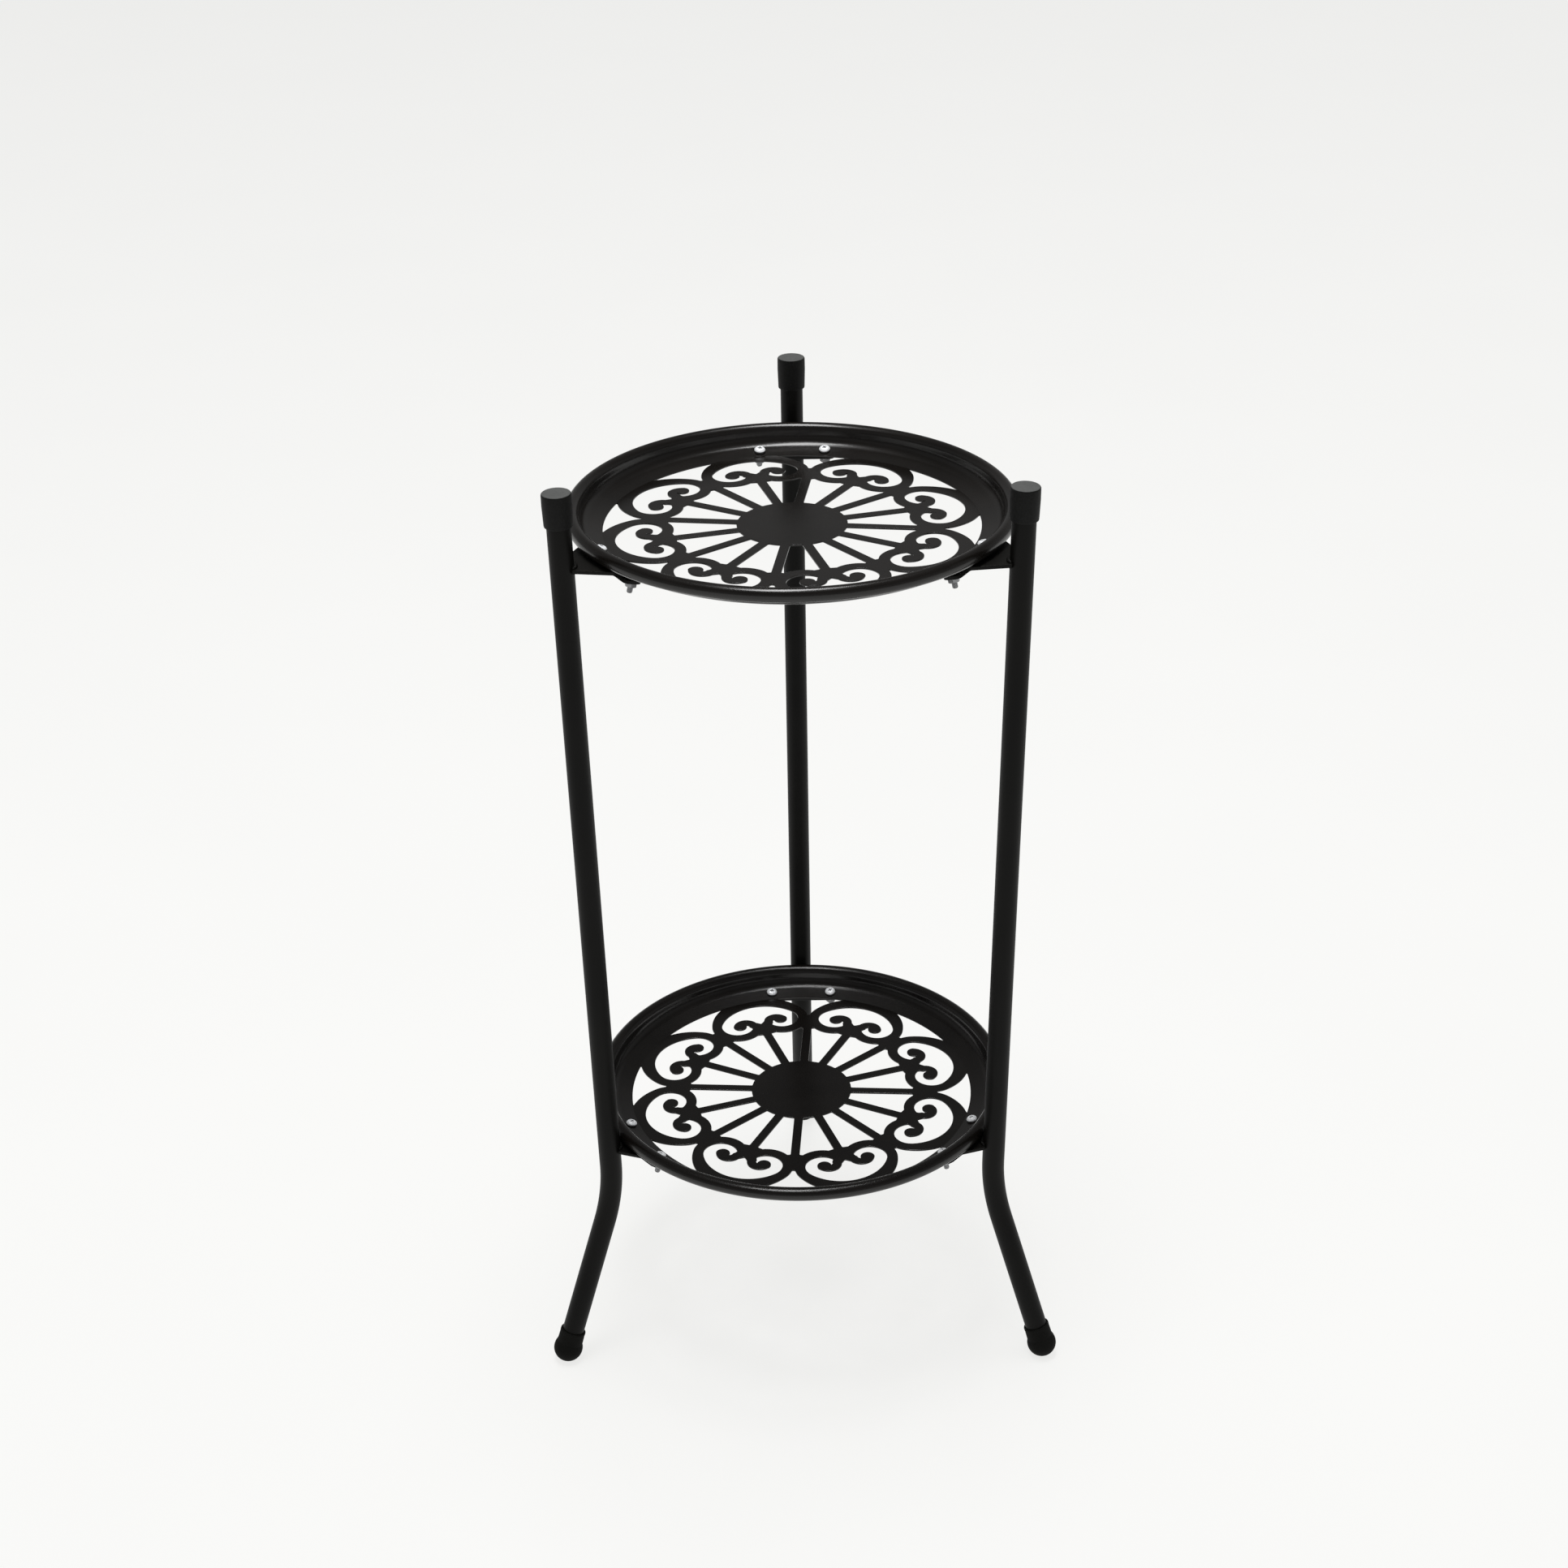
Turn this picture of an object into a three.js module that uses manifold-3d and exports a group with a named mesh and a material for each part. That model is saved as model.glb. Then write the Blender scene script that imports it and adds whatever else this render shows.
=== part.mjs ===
// Two-tier round metal plant stand: three bent tube legs carry two pierced
// pressed-steel trays on screwed brackets.
// Units are millimetres, +Z is up, and the stand rests on z = 0.
import * as THREE from 'three';
import * as BufferGeometryUtils from 'three/addons/utils/BufferGeometryUtils.js';
import Module from 'manifold-3d';

// ---- driving dimensions ----------------------------------------------------
const TUBE_R = 8;            // leg tube outer radius (16 mm tube)
const TUBE_WALL = 1.2;
const CLEAR = 0.3;           // gap kept between neighbouring pieces

const LOWER_Z = 170;         // top of each tray's pierced floor
const UPPER_Z = 628;
const RHO_LOWER = 160.8;     // leg axis distance from the centre line at each tray
const RHO_UPPER = 170.4;
const TOP_Z = 684;           // open top end of the tube
const BEND_Z = 136;          // corner of the leg's axis before it is rounded
const BEND_R = 135;
const FOOT_RHO = 204;        // centre of the rounded foot
const FOOT_Z = 10.2;

const CAP_TOP_R = 9.9;       // plastic cap over the tube's top end
const CAP_LOW_R = 9.4;
const CAP_LEN = 23;
const CAP_ROOF = 2.2;

const FOOT_BALL_R = 10.9;    // rubber foot
const FOOT_SLEEVE_R = 9.3;
const FOOT_LEN = 15.5;
const FOOT_SEGMENTS = 24;

const SHEET = 1.2;           // tray sheet thickness
const RIM_R = 152.4;         // outside of the rolled edge
const ROLL_R = 4.9;          // radius of the rolled edge
const ROLL_Z = 12.5;         // height of the roll's centre above the floor
const WALL_R = RIM_R - 2 * ROLL_R;   // inner face of the tray's upright wall
const FILLET_R = 8;          // ring curves up into the wall
const RING_R = 127.5;        // pierced floor meets the sloping ring
const RING_SLOPE = THREE.MathUtils.degToRad(16);
const RIM_SEGMENTS = 48;

const HEARTS = 8;            // ornament repeats
const DISC_R = 37.4;         // plain disc in the middle
const SPOKE_HALF = 3.3;
const ARC_C = 86.9;          // outer bow of each heart: centre and inner radius
const ARC_R = 33.7;
const LOBE = [97.9, 18.3];   // lobes of each heart: centre, inner and outer radius
const LOBE_IN = 12.3;
const LOBE_OUT = 20.1;
const BULB = [97.3, 16.6];   // round end of each scroll
const BULB_R = 5.2;
const CURL = [95.1, 12.5];   // curl that joins the scroll to the heart's notch
const CURL_IN = 2.8;
const CURL_OUT = 9.6;
const NOTCH = 95;
const UPPER_TURN = THREE.MathUtils.degToRad(83);     // a spoke between two hearts,
const LOWER_TURN = THREE.MathUtils.degToRad(86.7);   // from the X axis, on each tray

const SCREW_RHO = 133.6;     // screws on the sloping ring
const SCREW_ANGLE = THREE.MathUtils.degToRad(10);
const SCREW_R = 2;
const SCREW_LEN = 13;
const HEAD_R = 4;
const HEAD_H = 2.7;
const HOLE_R = 2.4;
const NUT_R = 4.04;          // 7 mm across flats
const NUT_H = 3.2;
const NUT_DROP = 1.65;       // play between tray, bracket and nut along the screw

const PLATE = 2.5;           // bracket plate thickness
const BRACKET_IN = 129;      // inner end of the bracket
const BRACKET_HALF_IN = 31;
const BRACKET_HALF_OUT = 9;
const STEP_FROM = 140;       // flange ends here and the plate steps up at 45 degrees
const ARM_Z = 6.9;           // top of the bracket's level arm above the floor

// ---- materials ---------------------------------------------------------------
const blackPaint = new THREE.MeshStandardMaterial({ color: 0x1a1a18, roughness: 0.45, metalness: 0.2 });
const trayPaint = new THREE.MeshStandardMaterial({ color: 0x1d1b19, roughness: 0.42, metalness: 0.2 });
const capPlastic = new THREE.MeshStandardMaterial({ color: 0x202022, roughness: 0.6, metalness: 0 });
const footRubber = new THREE.MeshStandardMaterial({ color: 0x141414, roughness: 0.85, metalness: 0 });
const zinc = new THREE.MeshStandardMaterial({ color: 0xd9dadb, roughness: 0.3, metalness: 0.9 });

// ---- helpers -----------------------------------------------------------------
const wasm = await Module();
wasm.setup();

function toSolid(geometry) {
  let g = geometry.clone();
  g.deleteAttribute('normal');
  g.deleteAttribute('uv');
  g = BufferGeometryUtils.mergeVertices(g, 1e-4);
  return new wasm.Manifold(new wasm.Mesh({
    numProp: 3,
    vertProperties: new Float32Array(g.attributes.position.array),
    triVerts: new Uint32Array(g.index.array),
  }));
}

function toGeometry(solid) {
  const mesh = solid.getMesh();
  const g = new THREE.BufferGeometry();
  g.setAttribute('position', new THREE.BufferAttribute(new Float32Array(mesh.vertProperties), 3));
  g.setIndex(new THREE.BufferAttribute(new Uint32Array(mesh.triVerts), 1));
  g.computeVertexNormals();
  return g;
}

function arc(cx, cy, r, from, to, steps) {
  const out = [];
  for (let i = 0; i <= steps; i += 1) {
    const a = THREE.MathUtils.degToRad(from + ((to - from) * i) / steps);
    out.push(new THREE.Vector2(cx + r * Math.cos(a), cy + r * Math.sin(a)));
  }
  return out;
}

// A lathe about +Z from (radius, height) pairs that close on themselves or on the axis.
function turned(points, segments, start = 0) {
  const profile = points.map((p) => new THREE.Vector2(p[0], p[1]));
  const g = new THREE.LatheGeometry(profile, segments, start);
  g.rotateX(Math.PI / 2);
  return g;
}

const deg = THREE.MathUtils.radToDeg;
const turn = (p, a) => new THREE.Vector2(
  p.x * Math.cos(a) - p.y * Math.sin(a), p.x * Math.sin(a) + p.y * Math.cos(a));
const flip = (p) => new THREE.Vector2(p.x, -p.y);

// ---- ornament: openings of one heart, on a heart axis along +X -----------------
const HALF_PITCH = Math.PI / HEARTS;

function heartOpening() {
  const [lx, ly] = LOBE;
  const join = deg(Math.atan2(ly, lx - ARC_C));
  const half = [
    new THREE.Vector2(NOTCH, 0),
    ...arc(...CURL, CURL_OUT, -72, 55, 4),
    ...arc(...BULB, BULB_R, 75, 270, 6),
    ...arc(...CURL, CURL_IN, -20, -100, 2),
    new THREE.Vector2(CURL[0] - 2.2, CURL[1] - 3.9),
    ...arc(lx, ly, LOBE_IN, 236, join, 8),
    ...arc(ARC_C, 0, ARC_R, join, 0, 4).slice(1),
  ];
  const other = half.slice(1, -1).reverse().map(flip);
  return [...half, ...other];
}

function crescentOpening() {
  // lies on the axis between two hearts, which is the X axis here
  const lobe = turn(new THREE.Vector2(LOBE[0], -LOBE[1]), HALF_PITCH);
  const tip = new THREE.Vector2(123.9, 25.6);
  const shoulder = arc(lobe.x, lobe.y, LOBE_OUT, -75.5, -52, 2);
  const from = shoulder[shoulder.length - 1];
  const bow = new THREE.QuadraticBezierCurve(from, new THREE.Vector2(120.4, 13), tip);
  const tipAngle = deg(Math.atan2(tip.y + 0.6, tip.x + 0.8));
  const half = [
    new THREE.Vector2(102.2, 0),
    ...shoulder,
    ...bow.getPoints(3).slice(1),
    ...arc(0, 0, RING_R, tipAngle, 0, 2),
  ];
  const other = half.slice(1, -1).reverse().map(flip);
  return [...half, ...other];
}

function gapOpening() {
  // between the spoke on the X axis (between two hearts) and the next heart's spoke
  const lobe = turn(new THREE.Vector2(LOBE[0], -LOBE[1]), HALF_PITCH);
  const side = deg(Math.asin(SPOKE_HALF / DISC_R));
  const heartSpoke = (x, y) => turn(new THREE.Vector2(x, y), HALF_PITCH);
  return [
    ...arc(0, 0, DISC_R, deg(HALF_PITCH) - side, side, 1),
    new THREE.Vector2(83.6, SPOKE_HALF),
    ...arc(lobe.x, lobe.y, LOBE_OUT, 228, 170, 3),
    heartSpoke(80.4, -SPOKE_HALF),
  ];
}

function ornamentSheet() {
  const outline = new THREE.Shape(arc(0, 0, RING_R + 1.5, 0, 360, RIM_SEGMENTS).slice(0, -1));
  const cut = (points, angle, mirrored) => {
    const placed = points.map((p) => turn(mirrored ? flip(p) : p, angle));
    outline.holes.push(new THREE.Path(placed));
  };
  for (let k = 0; k < HEARTS; k += 1) {
    const junction = 2 * HALF_PITCH * k;
    cut(heartOpening(), junction + HALF_PITCH, false);
    cut(crescentOpening(), junction, false);
    cut(gapOpening(), junction, false);
    cut(gapOpening(), junction, true);
  }
  const g = new THREE.ExtrudeGeometry(outline, { depth: SHEET, bevelEnabled: false });
  g.translate(0, 0, -SHEET);
  return g;
}

// ---- trays -------------------------------------------------------------------
function ringHeight(r) {
  return (r - RING_R) * Math.tan(RING_SLOPE);
}

function rimRing() {
  const roll = [WALL_R + ROLL_R, ROLL_Z];
  const end = -125;
  const inner = WALL_R - FILLET_R;
  const fillet = [inner, ringHeight(inner) + FILLET_R / Math.cos(RING_SLOPE)];
  const toe = deg(RING_SLOPE) - 90;
  const pairs = (list) => list.map((p) => [p.x, p.y]);
  const top = [
    [RING_R, 0],
    ...pairs(arc(...fillet, FILLET_R, toe, 0, 4)),
    ...pairs(arc(...roll, ROLL_R, 180, end, 8)),
  ];
  const under = [
    ...pairs(arc(...roll, ROLL_R - SHEET, end, 180, 6)),
    ...pairs(arc(...fillet, FILLET_R + SHEET, 0, toe, 3)),
    [RING_R + 0.2, -SHEET],
  ];
  const profile = [...top, ...under, top[0]];
  return turned(profile.reverse(), RIM_SEGMENTS, Math.PI / 2);
}

// Screw seats: on the sloping ring, square to its surface.
function screwPlaces(legAngle) {
  return [-1, 1].map((side) => {
    const a = legAngle + side * SCREW_ANGLE;
    const m = new THREE.Matrix4().makeRotationZ(a);
    m.multiply(new THREE.Matrix4().makeTranslation(SCREW_RHO, 0, ringHeight(SCREW_RHO)));
    m.multiply(new THREE.Matrix4().makeRotationY(-RING_SLOPE));
    return m;
  });
}

function drill(matrix) {
  const g = new THREE.CylinderGeometry(HOLE_R, HOLE_R, 14, 10);
  g.rotateX(Math.PI / 2);
  g.applyMatrix4(matrix);
  return toSolid(g);
}

const LEG_ANGLES = { rear: Math.PI / 2, left: (7 * Math.PI) / 6, right: (11 * Math.PI) / 6 };

function trayGeometry(patternTurn) {
  const sheet = ornamentSheet();
  sheet.rotateZ(patternTurn);
  const rim = rimRing();
  rim.rotateZ(patternTurn);
  let solid = toSolid(rim).add(toSolid(sheet));
  for (const angle of Object.values(LEG_ANGLES)) {
    for (const place of screwPlaces(angle)) solid = solid.subtract(drill(place));
  }
  return toGeometry(solid);
}

// ---- legs --------------------------------------------------------------------
const LEAN = Math.atan2(RHO_UPPER - RHO_LOWER, UPPER_Z - LOWER_Z);
const rhoAt = (z) => RHO_LOWER + (z - LOWER_Z) * Math.tan(LEAN);
const CORNER = new THREE.Vector2(rhoAt(BEND_Z), BEND_Z);
const FOOT = new THREE.Vector2(FOOT_RHO, FOOT_Z);
const SPLAY = Math.atan2(FOOT.x - CORNER.x, CORNER.y - FOOT.y);
const TUBE_LIFT = 3.2;       // tube's lower end above the foot's centre, along the leg

// Leg axis in the X-Z plane: straight splay, round bend, straight rise.
class LegAxis extends THREE.Curve {
  constructor() {
    super();
    this.steps = 9;
    const down = new THREE.Vector2(Math.sin(SPLAY), -Math.cos(SPLAY));
    const up = new THREE.Vector2(Math.sin(LEAN), Math.cos(LEAN));
    const sweep = SPLAY + LEAN;
    const tangent = BEND_R * Math.tan(sweep / 2);
    this.start = FOOT.clone().addScaledVector(down, -TUBE_LIFT);
    this.bendFrom = CORNER.clone().addScaledVector(down, tangent);
    this.bendTo = CORNER.clone().addScaledVector(up, tangent);
    this.end = new THREE.Vector2(rhoAt(TOP_Z), TOP_Z);
    const out = new THREE.Vector2(Math.cos(SPLAY), Math.sin(SPLAY));
    this.centre = this.bendFrom.clone().addScaledVector(out, BEND_R);
    this.sweep = sweep;
  }

  getPoint(t, target = new THREE.Vector3()) {
    const s = THREE.MathUtils.clamp(t, 0, 1) * this.steps;
    const last = this.steps - 1;
    let p;
    if (s <= 1) p = this.start.clone().lerp(this.bendFrom, s);
    else if (s >= last) p = this.bendTo.clone().lerp(this.end, s - last);
    else {
      const a = Math.PI + SPLAY - (this.sweep * (s - 1)) / (last - 1);
      p = new THREE.Vector2(Math.cos(a), Math.sin(a)).multiplyScalar(BEND_R).add(this.centre);
    }
    return target.set(p.x, 0, p.y);
  }

  getUtoTmapping(u) { return u; }
}

function legGeometry() {
  const axis = new LegAxis();
  const section = new THREE.Shape(arc(0, 0, TUBE_R, 0, 360, 16).slice(0, -1));
  section.holes.push(new THREE.Path(arc(0, 0, TUBE_R - TUBE_WALL, 0, 360, 12).slice(0, -1)));
  return new THREE.ExtrudeGeometry(section, {
    steps: axis.steps, bevelEnabled: false, extrudePath: axis,
  });
}

function capGeometry() {
  const bore = TUBE_R + CLEAR;
  const top = CAP_LEN;
  return turned([
    [0, top - CAP_ROOF], [bore, top - CAP_ROOF], [bore, 0], [CAP_LOW_R - 0.5, 0],
    [CAP_LOW_R, 1.2], [CAP_TOP_R, top - 4], [CAP_TOP_R - 0.35, top - 1.6],
    [CAP_TOP_R - 1.6, top - 0.35], [0, top],
  ], 16);
}

function footGeometry() {
  const bore = TUBE_R + CLEAR;
  const ball = arc(0, 0, FOOT_BALL_R, -90, 36, 6).map((p) => [p.x, p.y]);
  ball[0][0] = 0;
  const g = turned([
    ...ball, [FOOT_SLEEVE_R, 9.5], [FOOT_SLEEVE_R, FOOT_LEN - 0.8], [FOOT_SLEEVE_R - 0.6, FOOT_LEN],
    [bore, FOOT_LEN], [bore, TUBE_LIFT - CLEAR], [0, TUBE_LIFT - CLEAR],
  ], FOOT_SEGMENTS);
  // stand it along the splayed leg, then trim the flat sole
  g.rotateY(-SPLAY);
  g.translate(FOOT.x, 0, FOOT.y);
  const below = new THREE.BoxGeometry(60, 60, 30);
  below.translate(FOOT.x, 0, -15);
  return toGeometry(toSolid(g).subtract(toSolid(below)));
}

// ---- brackets ------------------------------------------------------------------
function bracketGeometry(rho) {
  // bent plate seen from the side: sloping flange under the ring, a step up beside
  // the wall, and a level arm to the leg
  const drop = SHEET / Math.cos(RING_SLOPE) + CLEAR + 0.15;
  const flangeTop = (r) => new THREE.Vector2(r, ringHeight(r) - drop);
  const step = flangeTop(STEP_FROM);
  const top = [flangeTop(BRACKET_IN - 2), step,
    new THREE.Vector2(STEP_FROM + ARM_Z - step.y, ARM_Z), new THREE.Vector2(rho, ARM_Z)];
  const slopes = [RING_SLOPE, Math.PI / 4, 0];
  const under = top.map((p, i) => {
    const before = slopes[Math.max(i - 1, 0)];
    const after = slopes[Math.min(i, slopes.length - 1)];
    const thick = PLATE / Math.cos((before - after) / 2);
    const middle = (before + after) / 2;
    return new THREE.Vector2(p.x + thick * Math.sin(middle), p.y - thick * Math.cos(middle));
  });
  const side = new THREE.Shape([...top, ...under.reverse()]);
  const body = new THREE.ExtrudeGeometry(side, { depth: 2 * BRACKET_HALF_IN, bevelEnabled: false });
  body.rotateX(Math.PI / 2);
  body.translate(0, BRACKET_HALF_IN, 0);
  const r = 5;
  const outline = new THREE.Shape();
  outline.moveTo(BRACKET_IN - 1, BRACKET_HALF_IN - r);
  outline.lineTo(BRACKET_IN - 1, r - BRACKET_HALF_IN);
  outline.lineTo(BRACKET_IN + 1.5, 2 - BRACKET_HALF_IN);
  outline.lineTo(BRACKET_IN + r, -BRACKET_HALF_IN);
  outline.lineTo(BRACKET_IN + 11, 1 - BRACKET_HALF_IN);
  outline.lineTo(rho - 3, -BRACKET_HALF_OUT);
  outline.lineTo(rho - 3, BRACKET_HALF_OUT);
  outline.lineTo(BRACKET_IN + 11, BRACKET_HALF_IN - 1);
  outline.lineTo(BRACKET_IN + r, BRACKET_HALF_IN);
  outline.lineTo(BRACKET_IN + 1.5, BRACKET_HALF_IN - 2);
  const mask = new THREE.ExtrudeGeometry(outline, { depth: 40, bevelEnabled: false });
  mask.translate(0, 0, -20);
  const tube = new THREE.CylinderGeometry(TUBE_R + CLEAR, TUBE_R + CLEAR, 60, 16);
  tube.rotateX(Math.PI / 2);
  tube.rotateY(LEAN);
  tube.translate(rho, 0, 0);
  let solid = toSolid(body).intersect(toSolid(mask)).subtract(toSolid(tube));
  for (const place of screwPlaces(0)) solid = solid.subtract(drill(place));
  return toGeometry(solid);
}

// ---- fasteners: axis along +Z, seat at z = 0 --------------------------------------
function screwGeometry() {
  const seat = CLEAR;
  return turned([
    [0, seat - SCREW_LEN], [SCREW_R - 0.5, seat - SCREW_LEN], [SCREW_R, seat - SCREW_LEN + 0.6],
    [SCREW_R, seat], [HEAD_R, seat], [HEAD_R, seat + 0.9], [HEAD_R - 1.1, seat + 2.2],
    [0, seat + HEAD_H],
  ], 10);
}

function nutGeometry() {
  const hex = new THREE.Shape(arc(0, 0, NUT_R, 0, 360, 6).slice(0, -1));
  hex.holes.push(new THREE.Path(arc(0, 0, SCREW_R + CLEAR + 0.05, 0, 360, 10).slice(0, -1)));
  const g = new THREE.ExtrudeGeometry(hex, { depth: NUT_H, bevelEnabled: false });
  const below = SHEET + PLATE + NUT_DROP;
  g.translate(0, 0, -below - NUT_H);
  return g;
}

// ---- assembly --------------------------------------------------------------------
const stand = new THREE.Group();

function place(name, geometry, material, matrix, parent) {
  const mesh = new THREE.Mesh(geometry, material);
  mesh.name = name;
  mesh.applyMatrix4(matrix);
  parent.add(mesh);
  return mesh;
}

const still = new THREE.Matrix4();
for (const [side, angle] of Object.entries(LEG_ANGLES)) {
  const arm = new THREE.Group();
  arm.rotation.z = angle;
  stand.add(arm);
  place(`leg_${side}`, legGeometry(), blackPaint, still, arm);
  const capSeat = new THREE.Matrix4().makeTranslation(rhoAt(TOP_Z), 0, TOP_Z);
  capSeat.multiply(new THREE.Matrix4().makeRotationY(LEAN));
  capSeat.multiply(new THREE.Matrix4().makeTranslation(0, 0, CLEAR + CAP_ROOF - CAP_LEN));
  place(`top_cap_${side}`, capGeometry(), capPlastic, capSeat, arm);
  place(`foot_${side}`, footGeometry(), footRubber, still, arm);
}

const tiers = {
  upper: [UPPER_Z, RHO_UPPER, UPPER_TURN],
  lower: [LOWER_Z, RHO_LOWER, LOWER_TURN],
};
for (const [tier, [height, rho, patternTurn]] of Object.entries(tiers)) {
  const level = new THREE.Group();
  level.position.z = height;
  stand.add(level);
  place(`${tier}_tray`, trayGeometry(patternTurn), trayPaint, still, level);
  for (const [side, angle] of Object.entries(LEG_ANGLES)) {
    const spin = new THREE.Matrix4().makeRotationZ(angle);
    place(`${tier}_bracket_${side}`, bracketGeometry(rho), blackPaint, spin, level);
    screwPlaces(angle).forEach((seat, i) => {
      place(`${tier}_screw_${side}_${i + 1}`, screwGeometry(), zinc, seat, level);
      place(`${tier}_nut_${side}_${i + 1}`, nutGeometry(), zinc, seat, level);
    });
  }
}

// origin: middle of the footprint's box, on the floor
const whole = new THREE.Box3().setFromObject(stand, true);
stand.position.y = -(whole.min.y + whole.max.y) / 2;

const group = new THREE.Group();
group.add(stand);
export default group;
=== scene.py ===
import math

import bmesh
import bpy
from mathutils import Matrix, Vector, noise


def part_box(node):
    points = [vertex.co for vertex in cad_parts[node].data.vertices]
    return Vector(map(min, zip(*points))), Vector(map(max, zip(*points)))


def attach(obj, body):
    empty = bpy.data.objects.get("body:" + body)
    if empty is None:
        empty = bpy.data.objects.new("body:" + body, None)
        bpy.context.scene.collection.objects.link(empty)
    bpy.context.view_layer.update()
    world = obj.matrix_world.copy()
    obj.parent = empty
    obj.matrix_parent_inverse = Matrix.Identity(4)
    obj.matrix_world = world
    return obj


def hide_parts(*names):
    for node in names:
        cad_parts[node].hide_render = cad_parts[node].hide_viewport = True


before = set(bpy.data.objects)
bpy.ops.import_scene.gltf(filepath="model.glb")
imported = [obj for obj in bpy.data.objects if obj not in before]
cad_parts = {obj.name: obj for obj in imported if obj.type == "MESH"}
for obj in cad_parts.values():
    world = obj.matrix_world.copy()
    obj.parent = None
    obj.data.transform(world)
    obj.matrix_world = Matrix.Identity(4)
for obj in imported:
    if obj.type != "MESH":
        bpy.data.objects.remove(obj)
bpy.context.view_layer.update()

# Two-tier round plant stand. Shapes are worked out in millimetres about the stand's own
# centre line, and are set into the frame in metres when a piece is finished.
MM = 0.001
radians, degrees, sin, cos, tan = math.radians, math.degrees, math.sin, math.cos, math.tan

# ---- sizes ---------------------------------------------------------------------------
TUBE_R = 8.0
TUBE_WALL = 1.2
CLEAR = 0.3
LOWER_Z, UPPER_Z = 170.0, 628.0          # tops of the pierced floors
RHO_LOWER, RHO_UPPER = 160.8, 170.4      # leg's distance from the centre line there
TOP_Z = 684.0
BEND_Z, BEND_R = 136.0, 135.0
FOOT_RHO, FOOT_Z = 204.0, 10.2
TUBE_LIFT = 3.2

CAP_TOP_R, CAP_LOW_R, CAP_LEN, CAP_ROOF, CAP_EASE = 9.9, 9.4, 23.0, 2.2, 1.5
FOOT_BALL_R, FOOT_SLEEVE_R, FOOT_LEN, FOOT_EASE = 10.7, 9.3, 15.5, 6.0

SHEET = 1.2                              # tray steel
ROLL_R, ROLL_Z, ROLL_END = 4.84, 12.5, -125.0
WALL_R, FILLET_R = 142.6, 8.0            # upright wall, and its curve up out of the ring
RING_R, RING_SLOPE = 127.5, radians(16)
SHEET_EDGE_R = 128.2                     # pierced floor runs in under the sloping ring
SHEET_SOFT, PIERCED_CORNER_R = 0.22, 1.0
RIM_STEPS = 256

HEARTS = 8
DISC_R = 37.4
SPOKE_HALF = 3.3
ARC_C, ARC_R = 86.9, 33.7
LOBE, LOBE_IN, LOBE_OUT = (97.9, 18.3), 12.3, 20.1
BULB, BULB_R = (97.3, 16.6), 5.2
CURL, CURL_IN, CURL_OUT = (95.1, 12.5), 2.8, 9.6
NOTCH = 95.0
TRAY_TURN = {"upper": radians(83.0), "lower": radians(86.7)}

SCREW_RHO, SCREW_ANGLE = 133.6, radians(10)
SCREW_R, SCREW_LEN, HEAD_R, HEAD_H = 2.0, 13.0, 4.0, 2.7
HOLE_R = 2.4
CROSS_ARM, CROSS_HALF, CROSS_LEN, CROSS_LIFT, CROSS_TAPER = 1.75, 0.45, 1.7, 0.3, 0.62
THREAD_PITCH, THREAD_DEPTH, THREAD_HALF, THREAD_TURNS = 0.7, 0.3, 0.26, 12
NUT_R, NUT_H, NUT_DROP = 4.04, 3.2, 1.65

PLATE = 2.5                              # bracket steel
BRACKET_IN, BRACKET_HALF_IN, BRACKET_HALF_OUT = 129.0, 31.0, 9.0
STEP_FROM, ARM_Z = 140.0, 6.9            # plate steps up from its flange to a level arm
STEP_BEND_R, PLATE_CORNER_R, PLATE_SOFT = 4.0, 5.0, 0.3
BEAD_R, BEAD_SPAN, BEAD_RIPPLES = TUBE_R + 0.75, radians(64), 9
BEAD_TOP_SIZE, BEAD_UNDER_SIZE, BEAD_OFF_PLATE = 1.5, 1.35, 0.35

TURNED_STEPS, SCREW_STEPS, TUBE_STEPS, NUT_STEPS = 64, 40, 48, 48

LEG_ANGLES = {"rear": radians(90), "left": radians(210), "right": radians(330)}
TIERS = {"upper": (UPPER_Z, RHO_UPPER), "lower": (LOWER_Z, RHO_LOWER)}

low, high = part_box("upper_tray")
CENTRE = Vector(((low[0] + high[0]) / 2, (low[1] + high[1]) / 2, 0))
STAND = Matrix.Translation(CENTRE) @ Matrix.Scale(MM, 4)


# ---- camera --------------------------------------------------------------------------
def set_camera():
    pitch, yaw, roll = radians(-27.939), radians(-0.704), radians(-1.09)
    place = (0.0114, CENTRE.y - 1.6421, 1.3008)
    data = bpy.data.cameras.new("camera")
    data.sensor_width, data.lens = 36.0, 60.4
    data.clip_start, data.clip_end = 0.05, 60.0
    camera = bpy.data.objects.new("camera", data)
    camera.matrix_world = (
        Matrix.Translation(place)
        @ Matrix.Rotation(-yaw, 4, "Z")
        @ Matrix.Rotation(radians(90) + pitch, 4, "X")
        @ Matrix.Rotation(roll, 4, "Z")
    )
    bpy.context.scene.collection.objects.link(camera)
    bpy.context.scene.camera = camera


# ---- outlines ------------------------------------------------------------------------
def arc(centre, radius, start, end, steps):
    """Points along an arc, its angles in degrees."""
    turns = [radians(start + (end - start) * i / steps) for i in range(steps + 1)]
    return [Vector((centre[0] + radius * cos(a), centre[1] + radius * sin(a))) for a in turns]


def turned(point, angle):
    return Matrix.Rotation(angle, 2) @ Vector(point)


def bow(first, control, last, steps):
    """Points along a quadratic curve."""
    out = []
    for i in range(steps + 1):
        t = i / steps
        out.append(first * (1 - t) ** 2 + control * 2 * t * (1 - t) + last * t * t)
    return out


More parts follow.
